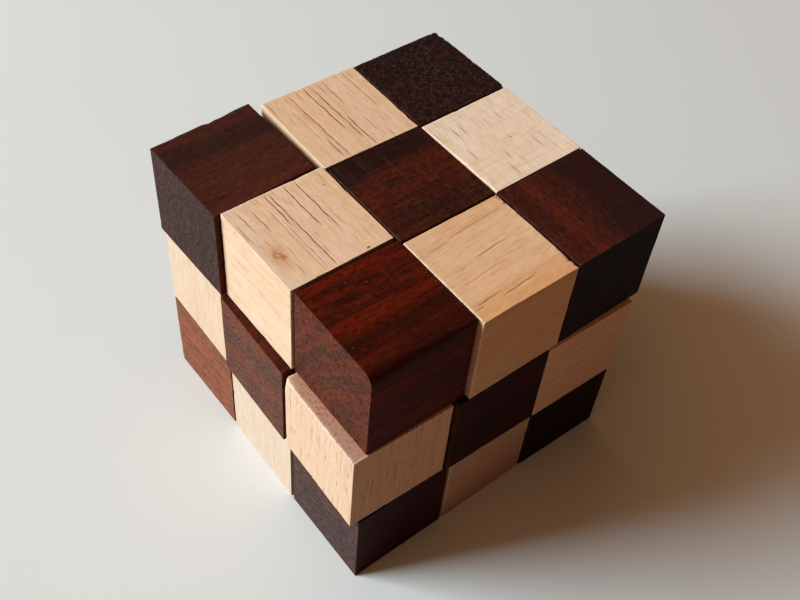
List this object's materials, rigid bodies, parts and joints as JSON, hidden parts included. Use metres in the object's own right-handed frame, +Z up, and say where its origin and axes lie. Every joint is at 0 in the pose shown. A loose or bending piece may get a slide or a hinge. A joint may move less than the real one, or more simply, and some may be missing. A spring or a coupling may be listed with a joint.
{
  "type": "wooden snake cube puzzle",
  "caption": "Wooden snake puzzle folded up into a cube: dark and light cubelets threaded on an elastic cord, with links that pull open and layers that twist.",
  "frame": {"origin": "centre of the underside of the middle cubelet of the bottom layer, on the surface that the cube stands on", "axes": "+Z up through the middle cubelets, +X and +Y along the edges of the cube"},
  "size_m": [0.0635, 0.0636, 0.0602],
  "materials": {
    "dark_wood": "sanded rosewood-like hardwood, thinly oiled, satin",
    "light_wood": "sanded rubberwood-like hardwood, unfinished, matt",
    "elastic_cord": "braided elastic cord, matt"
  },
  "bodies": {
    "cubelet_01": {"cubelet_01_end": "dark_wood", "cord_01": "elastic_cord"},
    "cubelet_02": {"cubelet_02_straight": "light_wood", "cord_02": "elastic_cord"},
    "cubelet_03": {"cubelet_03_corner": "dark_wood", "cord_03": "elastic_cord"},
    "cubelet_04": {"cubelet_04_corner": "light_wood", "cord_04": "elastic_cord"},
    "cubelet_05": {"cubelet_05_straight": "dark_wood", "cord_05": "elastic_cord"},
    "cubelet_06": {"cubelet_06_corner": "light_wood", "cord_06": "elastic_cord"},
    "cubelet_07": {"cubelet_07_corner": "dark_wood", "cord_07": "elastic_cord"},
    "cubelet_08": {"cubelet_08_straight": "light_wood", "cord_08": "elastic_cord"},
    "cubelet_09": {"cubelet_09_corner": "dark_wood", "cord_09": "elastic_cord"},
    "cubelet_10": {"cubelet_10_corner": "light_wood", "cord_10": "elastic_cord"},
    "cubelet_11": {"cubelet_11_straight": "dark_wood", "cord_11": "elastic_cord"},
    "cubelet_12": {"cubelet_12_corner": "light_wood", "cord_12": "elastic_cord"},
    "cubelet_13": {"cubelet_13_corner": "dark_wood", "cord_13": "elastic_cord"},
    "cubelet_14": {"cubelet_14_straight": "light_wood", "cord_14": "elastic_cord"},
    "cubelet_15": {"cubelet_15_corner": "dark_wood", "cord_15": "elastic_cord"},
    "cubelet_16": {"cubelet_16_corner": "light_wood", "cord_16": "elastic_cord"},
    "cubelet_17": {"cubelet_17_straight": "dark_wood", "cord_17": "elastic_cord"},
    "cubelet_18": {"cubelet_18_corner": "light_wood", "cord_18": "elastic_cord"},
    "cubelet_19": {"cubelet_19_corner": "dark_wood", "cord_19": "elastic_cord"},
    "cubelet_20": {"cubelet_20_straight": "light_wood", "cord_20": "elastic_cord"},
    "cubelet_21": {"cubelet_21_corner": "dark_wood", "cord_21": "elastic_cord"},
    "cubelet_22": {"cubelet_22_corner": "light_wood", "cord_22": "elastic_cord"},
    "cubelet_23": {"cubelet_23_straight": "dark_wood", "cord_23": "elastic_cord"},
    "cubelet_24": {"cubelet_24_corner": "light_wood", "cord_24": "elastic_cord"},
    "cubelet_25": {"cubelet_25_corner": "dark_wood", "cord_25": "elastic_cord"},
    "cubelet_26": {"cubelet_26_straight": "light_wood", "cord_26": "elastic_cord"},
    "cubelet_27": {"cubelet_27_end": "dark_wood", "cord_27": "elastic_cord"},
    "lower_turning_cord": {"cord_lower_turn": "elastic_cord"},
    "upper_turning_cord": {"cord_upper_turn": "elastic_cord"}
  },
  "joints": [
    {"name": "pull_01_02", "type": "slide", "parent": "cubelet_02", "child": "cubelet_01", "axis": [1, 0, 0], "range_m": [0, 0.005], "stiffness_N_per_m": 40, "springref_m": -0.05},
    {"name": "pull_02_03", "type": "slide", "parent": "cubelet_03", "child": "cubelet_02", "axis": [1, 0, 0], "range_m": [0, 0.005], "stiffness_N_per_m": 40, "springref_m": -0.05},
    {"name": "pull_03_04", "type": "slide", "parent": "cubelet_04", "child": "cubelet_03", "axis": [0, 1, 0], "range_m": [0, 0.005], "stiffness_N_per_m": 40, "springref_m": -0.05},
    {"name": "pull_04_05", "type": "slide", "parent": "cubelet_05", "child": "cubelet_04", "axis": [-1, 0, 0], "range_m": [0, 0.005], "stiffness_N_per_m": 40, "springref_m": -0.05},
    {"name": "pull_05_06", "type": "slide", "parent": "cubelet_05", "child": "cubelet_06", "axis": [1, 0, 0], "range_m": [0, 0.005], "stiffness_N_per_m": 40, "springref_m": -0.05},
    {"name": "pull_06_07", "type": "slide", "parent": "cubelet_06", "child": "cubelet_07", "axis": [0, -1, 0], "range_m": [0, 0.005], "stiffness_N_per_m": 40, "springref_m": -0.05},
    {"name": "pull_07_08", "type": "slide", "parent": "cubelet_07", "child": "cubelet_08", "axis": [-1, 0, 0], "range_m": [0, 0.005], "stiffness_N_per_m": 40, "springref_m": -0.05},
    {"name": "pull_08_09", "type": "slide", "parent": "cubelet_08", "child": "cubelet_09", "axis": [-1, 0, 0], "range_m": [0, 0.005], "stiffness_N_per_m": 40, "springref_m": -0.05},
    {"name": "pull_09_10", "type": "slide", "parent": "cubelet_09", "child": "lower_turning_cord", "axis": [0, 0, 1], "range_m": [0, 0.005], "stiffness_N_per_m": 40, "springref_m": -0.05},
    {"name": "twist_09_10", "type": "hinge", "parent": "lower_turning_cord", "child": "cubelet_10", "pos_m": [-0.0213, -0.02045, 0.02005], "axis": [0, 0, 1], "continuous": true},
    {"name": "pull_10_11", "type": "slide", "parent": "cubelet_10", "child": "cubelet_11", "axis": [1, 0, 0], "range_m": [0, 0.005], "stiffness_N_per_m": 40, "springref_m": -0.05},
    {"name": "pull_11_12", "type": "slide", "parent": "cubelet_11", "child": "cubelet_12", "axis": [1, 0, 0], "range_m": [0, 0.005], "stiffness_N_per_m": 40, "springref_m": -0.05},
    {"name": "pull_12_13", "type": "slide", "parent": "cubelet_12", "child": "cubelet_13", "axis": [0, 1, 0], "range_m": [0, 0.005], "stiffness_N_per_m": 40, "springref_m": -0.05},
    {"name": "pull_13_14", "type": "slide", "parent": "cubelet_13", "child": "cubelet_14", "axis": [-1, 0, 0], "range_m": [0, 0.005], "stiffness_N_per_m": 40, "springref_m": -0.05},
    {"name": "pull_14_15", "type": "slide", "parent": "cubelet_14", "child": "cubelet_15", "axis": [-1, 0, 0], "range_m": [0, 0.005], "stiffness_N_per_m": 40, "springref_m": -0.05},
    {"name": "pull_15_16", "type": "slide", "parent": "cubelet_15", "child": "cubelet_16", "axis": [0, 1, 0], "range_m": [0, 0.005], "stiffness_N_per_m": 40, "springref_m": -0.05},
    {"name": "pull_16_17", "type": "slide", "parent": "cubelet_16", "child": "cubelet_17", "axis": [1, 0, 0], "range_m": [0, 0.005], "stiffness_N_per_m": 40, "springref_m": -0.05},
    {"name": "pull_17_18", "type": "slide", "parent": "cubelet_17", "child": "cubelet_18", "axis": [1, 0, 0], "range_m": [0, 0.005], "stiffness_N_per_m": 40, "springref_m": -0.05},
    {"name": "pull_18_19", "type": "slide", "parent": "cubelet_18", "child": "upper_turning_cord", "axis": [0, 0, 1], "range_m": [0, 0.005], "stiffness_N_per_m": 40, "springref_m": -0.05},
    {"name": "twist_18_19", "type": "hinge", "parent": "upper_turning_cord", "child": "cubelet_19", "pos_m": [0.0207, 0.0202, 0.04015], "axis": [0, 0, 1], "continuous": true},
    {"name": "pull_19_20", "type": "slide", "parent": "cubelet_19", "child": "cubelet_20", "axis": [0, -1, 0], "range_m": [0, 0.005], "stiffness_N_per_m": 40, "springref_m": -0.05},
    {"name": "pull_20_21", "type": "slide", "parent": "cubelet_20", "child": "cubelet_21", "axis": [0, -1, 0], "range_m": [0, 0.005], "stiffness_N_per_m": 40, "springref_m": -0.05},
    {"name": "pull_21_22", "type": "slide", "parent": "cubelet_21", "child": "cubelet_22", "axis": [-1, 0, 0], "range_m": [0, 0.005], "stiffness_N_per_m": 40, "springref_m": -0.05},
    {"name": "pull_22_23", "type": "slide", "parent": "cubelet_22", "child": "cubelet_23", "axis": [0, 1, 0], "range_m": [0, 0.005], "stiffness_N_per_m": 40, "springref_m": -0.05},
    {"name": "pull_23_24", "type": "slide", "parent": "cubelet_23", "child": "cubelet_24", "axis": [0, 1, 0], "range_m": [0, 0.005], "stiffness_N_per_m": 40, "springref_m": -0.05},
    {"name": "pull_24_25", "type": "slide", "parent": "cubelet_24", "child": "cubelet_25", "axis": [-1, 0, 0], "range_m": [0, 0.005], "stiffness_N_per_m": 40, "springref_m": -0.05},
    {"name": "pull_25_26", "type": "slide", "parent": "cubelet_25", "child": "cubelet_26", "axis": [0, -1, 0], "range_m": [0, 0.005], "stiffness_N_per_m": 40, "springref_m": -0.05},
    {"name": "pull_26_27", "type": "slide", "parent": "cubelet_26", "child": "cubelet_27", "axis": [0, -1, 0], "range_m": [0, 0.005], "stiffness_N_per_m": 40, "springref_m": -0.05}
  ]
}
